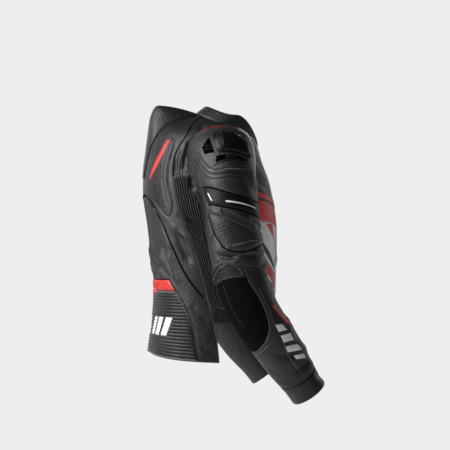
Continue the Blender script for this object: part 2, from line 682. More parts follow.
def torso_seams():
    """Every seam of the torso by name, for the wearer's right side."""
    seams = {name: (steps, through(places)) for name, (steps, places) in TORSO_SEAMS.items()}
    for name, (steps, start, end) in ARM_CUTS.items():
        seams[name] = steps, lambda share, a=start, b=end: np.column_stack(armhole(a + (b - a) * share))
    turns = (40, 125, 210, -115)
    yoke_corner, under, arm_low, yoke_foot = (tuple(map(float, armhole(turn))) for turn in turns)
    for name, steps, places in (
        ("neck_front", 3, [(FRONT_NECK, NECK), (float(tape_edge(NECK)), NECK)]),
        ("yoke_front", 3, [yoke_corner, (58, 45), (FRONT_NECK, NECK)]),
        ("yoke_end", 2, [(122.5, -94), yoke_foot]),
        ("under_arm", 2, [(114, -130), arm_low]),
        ("chest_side", 2, [under, CHEST_CORNER]),
    ):
        seams[name] = steps, through(places)
    for name, steps, start, level, lift in (
        ("chest_middle", 6, under, -95, 0),
        ("chest_low_front", 6, CHEST_CORNER, -185, 6),
        ("stripe_low", 12, (104.5, -215), -232, 26),
        ("hem_top", 12, (90, -402), -404, 0),
        ("hem_low", 12, (88, -437), -436, 0),
    ):
        seams[name] = steps, across_front(start, level, lift)
    top = NECK
    for name, low, steps in TAPE_LEVELS:
        seams["edge_" + name] = steps, down_front(tape_edge, top, low)
        seams["middle_" + name] = steps, down_front(np.zeros_like, top, low)
        top = low
    for name, level in (("tape_top", NECK), ("tape_foot", -436)):
        seams[name] = 1, through([(float(tape_edge(level)), level), (0, level)])
    return seams


def sleeve_seams():
    """Every seam of the right sleeve by name."""
    seams = {name: (steps, through(places)) for name, (steps, places) in SLEEVE_SEAMS.items()}
    for name, (steps, start, end) in ARM_CUTS.items():
        seams[name] = steps, through([(start, 0), (end, 0)])
    return seams


TORSO_CUTS = torso_seams()
SLEEVE_CUTS = sleeve_seams()


def side_of(seams, words, finer):
    """Seams joined end to end, each step cut finer: - turns one round, ~ is one turn further on."""
    points = []
    for word in words.split():
        name, _, times = word.lstrip("-~").partition("*")
        steps, run = seams[name]
        piece = run(np.linspace(0, 1, steps * int(times or 1) * finer + 1))
        if word[0] == "-":
            piece = piece[::-1]
        if word[0] == "~":
            piece = piece + (360, 0)
        points.append(piece if not points else piece[1:])
    return np.concatenate(points)


def patch(top, bottom, left, right):
    """The grid of places between four sides; top and left start at the same corner."""
    across = np.linspace(0, 1, len(top))[None, :, None]
    down = np.linspace(0, 1, len(left))[:, None, None]
    grid = (1 - down) * top[None] + down * bottom[None]
    grid = grid + (1 - across) * left[:, None] + across * right[:, None]
    corners = (1 - down) * ((1 - across) * top[0] + across * top[-1])
    corners = corners + down * ((1 - across) * bottom[0] + across * bottom[-1])
    return grid - corners


# ---------------------------------------------------------------- pieces
# Each piece: how much finer its steps are cut across and down, then its patches, each as its
# top, bottom, left and right seams.

TORSO_PIECES = {
    "yoke": (8, 8, [
        ("neck_shoulder", "yoke_middle", "yoke_high", "-shoulder"),
        ("yoke_middle", "stretch_top yoke_end", "yoke_low", "-arm_back"),
        ("neck_side", "arm_top", "-shoulder", "-yoke_front"),
    ]),
    "side_stretch": (24, 8, [
        ("stretch_top", "stretch_foot", "stretch_back stretch_foot_back",
         "side_high side_chest side_stripe side_panel"),
    ]),
    "waist_side": (8, 8, [
        ("long_high", "band_top", "waist_centre", "waist_turn"),
        ("-waist_turn", "waist_hem", "band_end kidney_side",
         "long_low long_tip stretch_foot_back waist_front waist_edge"),
    ]),
    "chest": (8, 8, [
        ("yoke_front neck_front", "chest_middle", "arm_front", "edge_chest"),
        ("yoke_end", "under_arm", "side_high", "-arm_under_back"),
        ("under_arm -arm_under", "chest_low_side", "side_chest", "chest_side"),
        ("chest_middle", "chest_low_front", "chest_side", "edge_chest_low"),
    ]),
    "front_stripe": (6, 8, [
        ("chest_low_side chest_low_front", "stripe_low", "side_stripe", "edge_stripe_low"),
    ]),
    "front_panel": (8, 8, [("stripe_low", "hem_top", "side_panel", "edge_hem_top")]),
    "front_hem": (6, 8, [("stretch_foot hem_top", "hem_low_side hem_low", "waist_front", "edge_hem")]),
}
MIDDLE_PIECES = {
    "back_panel": (16, 10, [
        ("neck_back", "long_tip*5", "centre_back long_high long_low", "yoke_high yoke_low stretch_back"),
    ]),
    "back_band": (8, 8, [("band_top", "kidney_top", "band_centre", "band_end")]),
    "kidney_panel": (8, 12, [("kidney_top", "kidney_hem", "kidney_centre", "kidney_side")]),
    "zip_tape": (4, 8, [
        ("tape_top", "tape_foot", "edge_chest edge_chest_low edge_stripe_low edge_hem_top edge_hem",
         "middle_chest middle_chest_low middle_stripe_low middle_hem_top middle_hem"),
    ]),
}
SLEEVE_PIECES = {
    "shoulder_cap": (8, 12, [("arm_back arm_top arm_front", "cap_low", "cap_back", "cap_front")]),
    "arm_band": (8, 8, [("cap_low", "band_low", "band_back", "band_front")]),
    "arm_fold": (8, 10, [("band_low", "panel_top", "fold_back", "fold_front")]),
    "arm_panel": (8, 10, [("panel_top", "panel_low", "panel_back", "panel_front")]),
    "arm_lower": (8, 6, [("panel_low", "elbow_top bend", "lower_back", "lower_front")]),
    "under_sleeve": (8, 8, [
        ("arm_under arm_under_back", "bend_inner", "cap_front band_front fold_front panel_front lower_front",
         "~cap_back ~band_back ~fold_back ~panel_back ~lower_back"),
    ]),
    "elbow_stretch": (6, 32, [("elbow_top", "elbow_low", "elbow_back", "elbow_front")]),
    "elbow_patch": (6, 8, [("elbow_low", "patch_low", "patch_back", "patch_front")]),
    "forearm_outer": (8, 8, [
        ("bend", "forearm_turn", "elbow_front patch_front", "forearm_front"),
        ("patch_low forearm_turn", "cuff_seam", "wrist_back", "wrist_front"),
    ]),
    "forearm_inner": (8, 8, [
        ("bend_inner", "cuff_seam_inner", "forearm_front wrist_front", "~elbow_back ~patch_back ~wrist_back"),
    ]),
    "cuff": (8, 8, [
        ("cuff_seam", "cuff_end", "cuff_back", "cuff_front"),
        ("cuff_seam_inner", "cuff_end_inner", "cuff_front", "~cuff_back"),
    ]),
}


def rib(phase):
    """A rounded rib from one sharp groove to the next, one for each whole phase."""
    return np.sqrt(np.clip(1 - (2 * (phase % 1) - 1) ** 2, 0, 1))


def thin_rib(phase):
    """A narrow ridge in the middle of each whole phase, over a flat valley."""
    return np.clip(1 - ((2 * (phase % 1) - 1) / THIN_RIB_WIDTH) ** 2, 0, 1)


def ramp(share, width):
    """Up from 0 at each end of a share to 1 inside."""
    return smooth(np.minimum(share, 1 - share) / width)


SIDE_SHARES = (0, 0.26, 0.53, 0.77, 1)  # down the side panel
SIDE_WIDTHS = (20, 46, 35, 30, 25)  # the side panel's width at those shares


def side_ribs(u, v):
    """Ridges an even distance apart, which follow the panel's back edge and run out at its front."""
    width = np.interp(v, SIDE_SHARES, SIDE_WIDTHS)
    return SIDE_RIB * thin_rib(u * width / SIDE_RIB_PITCH) * ramp(v, 0.02) * ramp(u, 0.05)


# How far a piece's outside is raised, from its share across and its share down.
RAISED = {
    "kidney_panel": lambda u, v: KIDNEY_RIB * rib(KIDNEY_RIBS * v) * np.clip((1 - u) / 0.05, 0, 1),
    "side_stretch": side_ribs,
    "elbow_stretch": lambda u, v: ELBOW_RIB * thin_rib(ELBOW_RIBS * v) * ramp(u, 0.06),
    "arm_panel": lambda u, v: PANEL_RISE * ramp(u, 0.12) * ramp(v, 0.3),
    "arm_band": lambda u, v: BAND_RISE * ramp(v, 0.2),
    "back_band": lambda u, v: BACK_BAND_RISE * ramp(v, 0.2),
}


# ---------------------------------------------------------------- materials
# Every material is made of nodes in object coordinates, which are metres on the jacket.


class Tree:
    """The node tree of a material or the world."""

    def __init__(self, holder):
        holder.use_nodes = True
        self.tree = holder.node_tree

    def feed(self, socket, value):
        """Another node's output, or a plain value, into a socket."""
        if isinstance(value, bpy.types.NodeSocket):
            self.tree.links.new(value, socket)
        else:
            socket.default_value = value

    def add(self, kind, *fed, **settings):
        """A node fed in the order of its sockets, or by the names of its sockets and settings."""
        node = self.tree.nodes.new("ShaderNode" + kind)
        for key, value in settings.items():
            if key in node.inputs:
                self.feed(node.inputs[key], value)
            else:
                setattr(node, key, value)
        for socket, value in zip(node.inputs, fed):
            self.feed(socket, value)
        return node

    def end(self, output, shader):
        """A shader joined to the tree's output."""
        self.feed(self.tree.nodes[output].inputs["Surface"], shader.outputs[0])


class Nodes(Tree):
    """A new material's nodes, with short calls for those used here."""

    def __init__(self, name):
        self.material = bpy.data.materials.new(name)
        super().__init__(self.material)
        self.shader = self.tree.nodes["Principled BSDF"]
        self.place = self.add("TexCoord").outputs["Object"]

    def noise(self, scale, detail, rough=0.5, place=None):
        """Noise from 0 to 1 with scale lumps a metre."""
        node = self.add("TexNoise", Scale=scale, Detail=detail, Roughness=rough, Vector=place or self.place)
        return node.outputs["Fac"]

    def worn(self):
        """How worn the mesh is at each point."""
        return self.add("Attribute", attribute_name="worn").outputs["Fac"]

    def ranged(self, value, low, high, new_low=0.0, new_high=1.0):
        """A value's range made a new range."""
        return self.add("MapRange", value, low, high, new_low, new_high).outputs["Result"]

    def sums(self, operation, first, second):
        """Two values put together by an operation."""
        return self.add("Math", first, second, operation=operation).outputs[0]

    def blended(self, share, first, second):
        """From the first colour to the second."""
        node = self.add("Mix", share, data_type="RGBA")
        for number, colour in ((6, first), (7, second)):
            self.feed(node.inputs[number], (*colour, 1) if isinstance(colour, tuple) else colour)
        return node.outputs[2]

    def bump(self, height, depth, under=None):
        """A normal that a height of this depth bends, over another bump."""
        node = self.add("Bump", Distance=depth, Height=height)
        if under:
            self.feed(node.inputs["Normal"], under)
        return node.outputs["Normal"]

    def shaded(self, values):
        """The material, once its shader has these values."""
        for key, value in values.items():
            self.feed(self.shader.inputs[key], value)
        return self.material


def leather(name, dark, light, roughness, grain=1.0, specular=0.5):
    """Grained leather: mottled colour, paler worn ridges, pebble grain and soft wrinkles."""
    nodes = Nodes(name)
    mottle = nodes.ranged(nodes.noise(26, 4, 0.6), 0.3, 0.7)
    worn = nodes.sums("MULTIPLY", nodes.worn(), nodes.ranged(nodes.noise(180, 3), 0.35, 0.7, 0.3, 1.0))
    rubbed = tuple(min(1.0, value * 1.6 + 0.012) for value in light)
    cells = nodes.add("TexVoronoi", Scale=760, Vector=nodes.place).outputs["Distance"]
    wrinkles = nodes.bump(nodes.noise(150, 4, 0.6), 0.0011 * grain)
    return nodes.shaded({
        "Base Color": nodes.blended(worn, nodes.blended(mottle, dark, light), rubbed),
        "Roughness": nodes.ranged(nodes.noise(70, 3), 0.25, 0.75, roughness - 0.07, roughness + 0.08),
        "Normal": nodes.bump(nodes.ranged(cells, 0.0, 0.75), 0.00022 * grain, wrinkles),
        "Specular IOR Level": specular,
    })


def cloth(name, dark, light, roughness, sheen, size, depth, specular=0.3, worn_range=(0.0, 1.0), patchy=0.45):
    """Soft cloth or suede: fibres whose lumps are 1/size metres over patches, and paler crests."""
    nodes = Nodes(name)
    fibres = nodes.noise(size, 5, 0.7)
    patches = nodes.noise(38, 3, 0.6)
    share = nodes.sums(
        "ADD", nodes.sums("MULTIPLY", fibres, 1 - patchy), nodes.sums("MULTIPLY", patches, patchy)
    )
    colour = nodes.blended(nodes.ranged(share, 0.35, 0.65), dark, light)
    crest = tuple(value * 10.0 for value in light)
    return nodes.shaded({
        "Base Color": nodes.blended(nodes.ranged(nodes.worn(), *worn_range), colour, crest),
        "Roughness": roughness,
        "Normal": nodes.bump(fibres, depth, nodes.bump(patches, 0.0006)),
        "Sheen Weight": sheen,
        "Sheen Roughness": 0.4,
        "Specular IOR Level": specular,
    })


def woven(name, colour, pale, pitch):
    """Zip tape: a fine weave of two crossing thread directions."""
    nodes = Nodes(name)
    waves = {"Scale": math.pi / pitch, "Distortion": 0.4, "Vector": nodes.place}
    threads = [nodes.add("TexWave", bands_direction=axis, **waves).outputs["Fac"] for axis in "ZX"]
    weave = nodes.sums("MULTIPLY", *threads)
    colour = nodes.blended(weave, colour, pale)
    return nodes.shaded({"Base Color": colour, "Roughness": 0.8, "Normal": nodes.bump(weave, 0.0003)})


def smooth_hard(name, dark, light, roughness, metallic=0.0, specular=0.5):
    """Moulded plastic or satin metal, with faint scuffs."""
    nodes = Nodes(name)
    stretched = nodes.add("Mapping", Vector=nodes.place, Scale=(1, 1, 0.15)).outputs["Vector"]
    scuffs = nodes.noise(900, 3, 0.7, stretched)
    return nodes.shaded({
        "Base Color": nodes.blended(nodes.ranged(scuffs, 0.4, 0.75), dark, light),
        "Roughness": nodes.ranged(nodes.noise(60, 2), 0.3, 0.7, roughness - 0.04, roughness + 0.06),
        "Metallic": metallic,
        "Specular IOR Level": specular,
        "Normal": nodes.bump(scuffs, 0.00005),
    })


LOOKS = {
    name: make(name, *settings)
    for make, name, *settings in (
        (leather, "leather_black", (0.008, 0.008, 0.009), (0.015, 0.015, 0.0162), 0.40),
        (leather, "leather_gloss", (0.0015, 0.0015, 0.002), (0.003, 0.003, 0.0035), 0.46, 0.3, 0.22),
        (leather, "leather_red", (0.52, 0.016, 0.010), (0.70, 0.032, 0.020), 0.40),
        (leather, "leather_grey", (0.36, 0.36, 0.37), (0.46, 0.46, 0.47), 0.42),
        (leather, "leather_white", (0.74, 0.74, 0.74), (0.84, 0.84, 0.84), 0.42, 0.8),
        (cloth, "stretch", (0.0015, 0.0015, 0.002), (0.010, 0.010, 0.011), 0.45, 0.1, 900, 0.0004, 0.4,
         (0.15, 0.24)),
        (cloth, "suede", (0.0001,) * 3, (0.011, 0.011, 0.0115), 1.0, 0.0, 340, 0.0022, 0.03,
         (0.6, 1.0), 0.08),
        (woven, "tape", (0.010, 0.010, 0.011), (0.030, 0.030, 0.032), 0.0012),
        (smooth_hard, "hard_plastic", (0.0015, 0.0015, 0.002), (0.004, 0.004, 0.0045), 0.34, 0.0, 0.22),
        (smooth_hard, "zip_metal", (0.20, 0.20, 0.21), (0.34, 0.34, 0.35), 0.36, 0.9),
        (cloth, "thread_black", (0.012, 0.012, 0.013), (0.04, 0.04, 0.042), 0.6, 0.3, 2500, 0.0001),
        (cloth, "thread_grey", (0.30, 0.30, 0.31), (0.50, 0.50, 0.51), 0.6, 0.3, 2500, 0.0001),
        (leather, "piping", (0.034, 0.034, 0.036), (0.062, 0.062, 0.064), 0.34, 0.4),
        (cloth, "pierced", (0.0008,) * 3, (0.002,) * 3, 1.0, 0.0, 900, 0.0001, 0.0),
    )
}


# ---------------------------------------------------------------- sewn shells


class Gathered:
    """Points and faces of many parts in one list."""

    def __init__(self):
        self.points, self.polygons, self.count = [], [], 0

    def put(self, points, polygons):
        """Add a part, whose polygons number its own points."""
        points = np.asarray(points, float).reshape(-1, 3)
        self.polygons += [[number + self.count for number in polygon] for polygon in polygons]
        self.points.append(points)
        self.count += len(points)


CLOTH = {group: Gathered() for group in ("torso", "sleeve_r", "sleeve_l", "collar")}
CLOTH["torso_l"] = CLOTH["torso"]


def quads(index):
    """The faces of a grid of numbers."""
    return np.stack([index[:-1, :-1], index[1:, :-1], index[1:, 1:], index[:-1, 1:]], -1).reshape(-1, 4)


def slab(rows, columns):
    """The faces of a closed slab: a grid of points, as many again below it, and the walls."""
    index = np.arange(rows * columns).reshape(rows, columns)
    ring = np.concatenate([index[:, 0], index[-1, 1:], index[-2::-1, -1], index[0, -2::-1]])
    walls = np.stack([ring[1:], ring[:-1], ring[:-1] + index.size, ring[1:] + index.size], 1)
    faces = quads(index)
    return np.concatenate([faces, faces[:, ::-1] + index.size, walls])


def lowest_near(values, reach):
    """The lowest value within so many rows and so many columns."""
    for axis, far in enumerate(reach):
        padded = np.pad(values, [(far, far) if axis == i else (0, 0) for i in (0, 1)], mode="edge")
        size = values.shape[axis]
        values = np.min([np.take(padded, range(i, i + size), axis) for i in range(2 * far + 1)], 0)
    return values


def add_object(name, data):
    """A new object in the scene."""
    made = bpy.data.objects.new(name, data)
    bpy.context.scene.collection.objects.link(made)
    return made


def add_mesh(name, points, polygons, look, node=None, worn=0.0, sharp=55):
    """A piece in the shared frame, smooth but for its sharp edges, riding on the jacket."""
    mesh = bpy.data.meshes.new(name)
    mesh.from_pydata((np.asarray(points) * MM).tolist(), [], polygons)
    mesh.materials.append(LOOKS[look])
    mesh.polygons.foreach_set("use_smooth", np.ones(len(polygons), bool))
    mesh.set_sharp_from_angle(angle=math.radians(sharp))
    shade = mesh.attributes.new("worn", "FLOAT", "POINT")
    shade.data.foreach_set("value", np.zeros(len(points)) + worn)
    piece = add_object(name, mesh)
    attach(piece, "jacket")
    if node:
        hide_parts(node)
    return piece


FLAT_STEPS = 60


def flat_cut(places, form, area, stretch):
    """The least rectangle that holds a piece laid flat, with its area, in square millimetres."""
    places = np.concatenate([grid.reshape(-1, 2) for grid in places])
    low, high = places.min(0), places.max(0)
    a, b = np.linspace(low, high, FLAT_STEPS).T
    form_grid = form(a[None, :], b[:, None])
    across = run_up(np.linalg.norm(np.diff(form_grid, axis=1), axis=2), 1)
    across -= across[:, FLAT_STEPS // 2, None]
    down = run_up(np.linalg.norm(np.diff(form_grid, axis=0), axis=2))
    column, row = ((places - low) / np.maximum(high - low, 1e-6) * (FLAT_STEPS - 1)).T
    i, j = (share.astype(int).clip(0, FLAT_STEPS - 2) for share in (row, column))
    y, x = row - i, column - j
    flat = []
    for table in (across, down):
        near = table[i, j] * (1 - x) + table[i, j + 1] * x
        far = table[i + 1, j] * (1 - x) + table[i + 1, j + 1] * x
        flat.append(near * (1 - y) + far * y)
    flat = np.stack(flat, 1) * stretch
    sizes = []
    for turn in np.radians(np.arange(0, 90, 2)):
        turned = flat @ np.array([[math.cos(turn), -math.sin(turn)], [math.sin(turn), math.cos(turn)]])
        sizes.append(turned.max(0) - turned.min(0))
    best = min(sizes, key=np.prod)
    area = area * np.prod(stretch)
    return best * max(1.0, math.sqrt(area / best.prod()) * 1.01), area


def open_sides(index, strides):
    """The runs of the patches' sides that no other patch shares, each one inner step long."""
    found = defaultdict(list)
    for grid, flip in index:
        sides = (grid[:, 0], grid[-1], grid[::-1, -1], grid[0, ::-1])
        for side, step in zip(sides, strides * 2):
            for start in range(0, len(side) - 1, step):
                run = side[start : start + step + 1].tolist()
                found[frozenset((run[0], run[-1]))].append((run, flip))
    return [runs[0] for runs in found.values() if len(runs) == 1]


def from_edge(points, edge):
    """How far each point is from the nearest of the numbered edge points."""
    tree = KDTree(len(edge))
    for number in edge:
        tree.insert(points[number], number)
    tree.balance()
    return np.array([tree.find(point)[2] for point in points])


def area_of(points, index):
    """The area of the patches in square millimetres."""
    total = 0.0
    for grid, _ in index:
        corner = points[grid]
        cross = np.cross(corner[1:, 1:] - corner[:-1, :-1], corner[1:, :-1] - corner[:-1, 1:])
        total += np.linalg.norm(cross, axis=2).sum() / 2
    return total


LOOK_OF = {
    "side_stretch": "stretch",
    "kidney_panel": "stretch",
    "elbow_stretch": "stretch",
    "back_band": "leather_red",
    "front_stripe": "leather_red",
    "front_panel": "leather_grey",
    "arm_band": "leather_gloss",
    "elbow_patch": "suede",
    "zip_tape": "tape",
    "collar_tape": "tape",
}
# How much longer a ribbed panel is cut than the place it covers, across and down.
CUT_LONGER = {"kidney_panel": (1.0, 1.3), "side_stretch": (1.25, 1.0), "elbow_stretch": (1.0, 1.25)}


def sew(name, suffix, groups, patches, finer):
    """A closed shell for a panel: a fine outside, a plainer inside and a rolled rim."""
    plain, normal, rise, index, count = [], [], [], [], 0
    strides = (finer[1] // 2, finer[0] // 2)
    for group, flip in groups:
        for grid in patches:
            some_plain, some_normal, some_rise = SKINS[group][0](grid[..., 0], grid[..., 1])
            rows, columns = grid.shape[:2]
            if name in RAISED:
                share_down = np.linspace(0, 1, rows)[:, None]
                some_rise = some_rise + RAISED[name](np.linspace(0, 1, columns)[None, :], share_down)
            index.append((np.arange(rows * columns).reshape(rows, columns) + count, flip))
            count += rows * columns
            plain.append(some_plain.reshape(-1, 3))
            normal.append(some_normal.reshape(-1, 3))
            rise.append(some_rise.ravel())
    plain = np.concatenate(plain)
    _, first, same = np.unique(np.round(plain, 3), axis=0, return_index=True, return_inverse=True)
    same = same.reshape(-1)
    plain, normal, rise = plain[first], np.concatenate(normal)[first], np.concatenate(rise)[first]
    index = [(same[grid], flip) for grid, flip in index]

    rim = open_sides(index, strides)
    to_rim = from_edge(plain, sorted({number for run, _ in rim for number in run}))
    rise = rise - RIM_DROP * (1 - smooth(to_rim / RIM_WIDTH))
    outer = plain + normal * rise[:, None]

    # The inside has one point for each stride, under the lowest of the outside near it.
    coarse = np.s_[:: strides[0], :: strides[1]]
    lowest = np.full(len(plain), np.inf)
    for grid, _ in index:
        np.minimum.at(lowest, grid[coarse], lowest_near(rise[grid], strides)[coarse])
    kept = np.flatnonzero(np.isfinite(lowest))
    below = np.full(len(plain), -1)
    below[kept] = np.arange(len(kept)) + len(plain)
    inner = plain[kept] + normal[kept] * (lowest[kept] - WALL)[:, None]

    polygons, outside = [], []
    for grid, flip in index:
        over, under = quads(grid), quads(below[grid[coarse]])
        if flip:
            over = over[:, [0, 3, 2, 1]]
        else:
            under = under[:, [0, 3, 2, 1]]
        polygons += over.tolist() + under.tolist()
        outside += over.tolist()
    for run, flip in rim:
        polygon = run[::-1] + [int(below[run[0]]), int(below[run[-1]])]
        polygons.append(polygon[::-1] if flip else polygon)

    crests = np.clip(rise / CREST_HEIGHT, 0, 1) * CREST_WORN
    worn = crests + RIM_WORN * np.exp(-(((to_rim - RIM_WORN_PLACE) / RIM_WORN_WIDTH) ** 2))
    worn = np.concatenate([worn, np.zeros(len(kept))])
    look = LOOK_OF.get(name, "leather_black")
    node = name + suffix
    piece = add_mesh("sewn_" + node, np.concatenate([outer, inner]), polygons, look, node, worn)
    CLOTH[groups[0][0]].put(outer, outside)
    both = list(patches)
    if len(groups) > 1:
        # The other half lies past 180 degrees at the back, and below 0 at the front.
        turn = 0 if patches[0][..., 0].max() < 45 else 360
        both += [grid * (-1, 1) + (turn, 0) for grid in patches]
    stretch = CUT_LONGER.get(name, (1.0, 1.0))
    size, area = flat_cut(both, SKINS[groups[0][0]][1], area_of(plain, index), stretch)


def cut(seams, patches, finer):
    """A piece's patches as grids of places."""
    for runs in patches:
        yield patch(*(side_of(seams, run, finer[number // 2]) for number, run in enumerate(runs)))


def sew_all():
    """Sew every panel of the torso and the sleeves, then the collar and its zip tape."""
    both = {"": (("torso", False), ("torso_l", True))}
    for pieces, seams, sides in (
        (MIDDLE_PIECES, TORSO_CUTS, both),
        (TORSO_PIECES, TORSO_CUTS, {"_r": (("torso", False),), "_l": (("torso_l", True),)}),
        (SLEEVE_PIECES, SLEEVE_CUTS, {"_r": (("sleeve_r", False),), "_l": (("sleeve_l", True),)}),
    ):
        for name, (*finer, patches) in pieces.items():
            grids = list(cut(seams, patches, finer))
            for suffix, groups in sides.items():
                sew(name, suffix, groups, grids, finer)
    around = side_of(TORSO_CUTS, "neck_back neck_shoulder neck_side neck_front", 4)[:, 0]
    heights = np.linspace(COLLAR_HEIGHT, 0, 17)
    for name, angles in (("collar", around), ("collar_tape", np.linspace(around[-1], 0, 5))):
        grid = np.stack(np.broadcast_arrays(angles[None, :], heights[:, None]), -1)
        sew(name, "", (("collar", False), ("collar_l", True)), [grid], (4, 8))


sew_all()


# ---------------------------------------------------------------- raised hard and padded parts


def block(name, node, lower, upper, look, group, flip=False, worn=0.0):
    """A closed piece between two grids of points."""
    faces = slab(*lower.shape[:2])
    faces = (faces[:, ::-1] if flip else faces).tolist()
    points = np.concatenate([upper.reshape(-1, 3), lower.reshape(-1, 3)])
    piece = add_mesh(name, points, faces, look, node, worn, 40)
    CLOTH[group].put(points, faces)


QUAD_BULGE = 0.22


def over_quad(group, quad, steps):
    """Points and normals over a quad whose sides bulge a little, with their shares from its middle."""
    across = np.linspace(-1, 1, steps[0] + 1)[None, :]
    down = np.linspace(-1, 1, steps[1] + 1)[:, None]
    u = ((across * np.sqrt(1 - QUAD_BULGE * down**2) + 1) / 2)[..., None]
    w = ((down * np.sqrt(1 - QUAD_BULGE * across**2) + 1) / 2)[..., None]
    first, second, third, fourth = np.asarray(quad, float)
    place = (1 - w) * ((1 - u) * first + u * second) + w * ((1 - u) * fourth + u * third)
    plain, normal, _ = SKINS[group][0](place[..., 0], place[..., 1])
    return plain, normal, across, down


def rolled(across, down, corner, start, drop):
    """How far a quad's top drops from a share of the way out to its rounded rim."""
    out = (np.abs(across) ** corner + np.abs(down) ** corner) ** (1 / corner)
    return drop * smooth((out - start) / (1 - start))


RIDGE_HEIGHT = 0.6
RIDGE_WIDTH = 0.06  # as a share of the plate's half


def add_sliders():
    """A padded base on each shoulder cap, and the moulded plate on the base."""
    for suffix in ("_r", "_l"):
        group = "sleeve" + suffix
        plain, normal, across, down = over_quad(group, SLIDER_BASE, (64, 44))
        top = BASE_HEIGHT - rolled(across, down, 6, 0.72, 2.6)
        low, high = plain + normal * BASE_GAP, plain + normal * top[..., None]
        name = "slider_base" + suffix
        block("sewn_" + name, name, low, high, "leather_black", group, suffix == "_l")
        plain, normal, across, down = over_quad(group, SLIDER_PLATE, (72, 60))
        # A ridge runs inside the back and lower edges, and the plate slopes away below it.
        to_edge = np.minimum(across + 1, 1 - down)
        ridge = RIDGE_HEIGHT * np.exp(-(((to_edge - 0.5) / RIDGE_WIDTH) ** 2))
        ridge = ridge - smooth((0.46 - to_edge) / 0.4)
        top = PLATE_HEIGHT + RIDGE_HEIGHT - rolled(across, down, 5, 0.74, 3.2) + ridge
        low = plain + normal * (BASE_HEIGHT + LAY_ON_GAP)
        high = low + normal * top[..., None]
        name = "slider_plate" + suffix
        block("moulded_" + name, name, low, high, "hard_plastic", group, suffix == "_l")


HUMP_SKIRT = 1.5  # how far the hump's edge stands off the back, over its gap
HUMP_SINK = 1.2
CHANNEL_PLACE = 0.62
CHANNEL_WIDTH = 0.03
CHANNEL_DEPTH = 1.2


def add_hump():
    """The aerodynamic hump: a padded ridge on the back, with a sewn channel down each side."""
    top, foot = HUMP_ROWS[0][0], HUMP_ROWS[-1][0]
    levels = np.linspace(top, foot, 97)[:, None]
    across = np.sin(np.linspace(-1, 1, 81) * math.pi / 2)[None, :]
    ridge_y, ridge_z, half_width, flatness = spline(HUMP_ROWS[::-1], levels)
    middle = torso_plain(180.0, levels)
    reach = middle[..., 1] - spline(TORSO_SECTIONS, levels)[1]
    turn = 180 - np.degrees(np.arctan2(half_width, reach)) * across
    base = torso_plain(turn, levels)
    normal = normals_of(torso_plain, turn, np.broadcast_to(levels, turn.shape))
    ridge = np.stack([np.zeros_like(ridge_y), ridge_y, ridge_z], -1)
    share = (1 - np.abs(across) ** flatness)[..., None]
    upper = base + normal * (HUMP_GAP + HUMP_SKIRT) + (ridge - middle) * share
    channel = np.exp(-(((np.abs(across) - CHANNEL_PLACE) / CHANNEL_WIDTH) ** 2))
    channel = channel * ramp((levels - foot) / (top - foot), 0.12)
    rise = 0.7 * uneven(upper) * ramp((across + 1) / 2, 0.12) - CHANNEL_DEPTH * channel
    upper = upper + normal * rise[..., None]
    lower = base + normal * (HUMP_GAP - HUMP_SINK)
    block("sewn_hump", "hump", lower, upper, "leather_black", "torso", False, 0.06)


add_sliders()
add_hump()

# ---------------------------------------------------------------- trim laid on the cloth
TREES = {
    group: BVHTree.FromPolygons(np.concatenate(found.points).tolist(), found.polygons)
    for group, found in CLOTH.items()
}
TREES["collar_l"] = TREES["collar"]
LOOK_UP = 24.0  # how far above and below a place its cloth is looked for
RUN_SAMPLES = 200
PAD_FOOT = 0.6  # how deep a pad's underside lies in the cloth
PAD_LIFT = 0.08


def on_cloth(group, places):
    """Points on the sewn pieces at places, and the plain form's normals there."""
    places = np.asarray(places, float)
    a, b = places[..., 0], places[..., 1]
    form = SKINS[group][1]
    if group in ("torso_l", "collar_l"):
        a = 360 - a
    plain, normal = form(a, b), normals_of(form, a, b)
    if group == "sleeve_l":
        plain, normal = plain * (-1, 1, 1), normal * (-1, 1, 1)
    return dropped(group, plain, normal), normal


def dropped(group, points, normal, shift=0.0):
    """Points moved along their normals onto the cloth; one beside it only has the shift added."""
    moved = []
    for point, out in zip(points.reshape(-1, 3), normal.reshape(-1, 3)):
        hit = TREES[group].ray_cast(Vector(point + out * LOOK_UP), Vector(-out), 2 * LOOK_UP)[0]
        moved.append(hit if hit is not None else point + shift)
    return np.array(moved).reshape(points.shape)


def paced(group, places, pitch):
    """The run through places as points about a pitch apart, with their normals and directions."""
    places = np.asarray(places, float)
    if len(places) < 40:
        places = through(places)(np.linspace(0, 1, RUN_SAMPLES))
    plain = SKINS[group][1](places[:, 0], places[:, 1])
    reach = run_up(np.linalg.norm(np.diff(plain, axis=0), axis=1))
    count = max(3, int(round(reach[-1] / pitch)) + 1)
    even = np.linspace(0, reach[-1], count)
    points, normal = on_cloth(group, np.column_stack([np.interp(even, reach, column) for column in places.T]))
    return points, normal, squared(np.gradient(points, axis=0), normal)


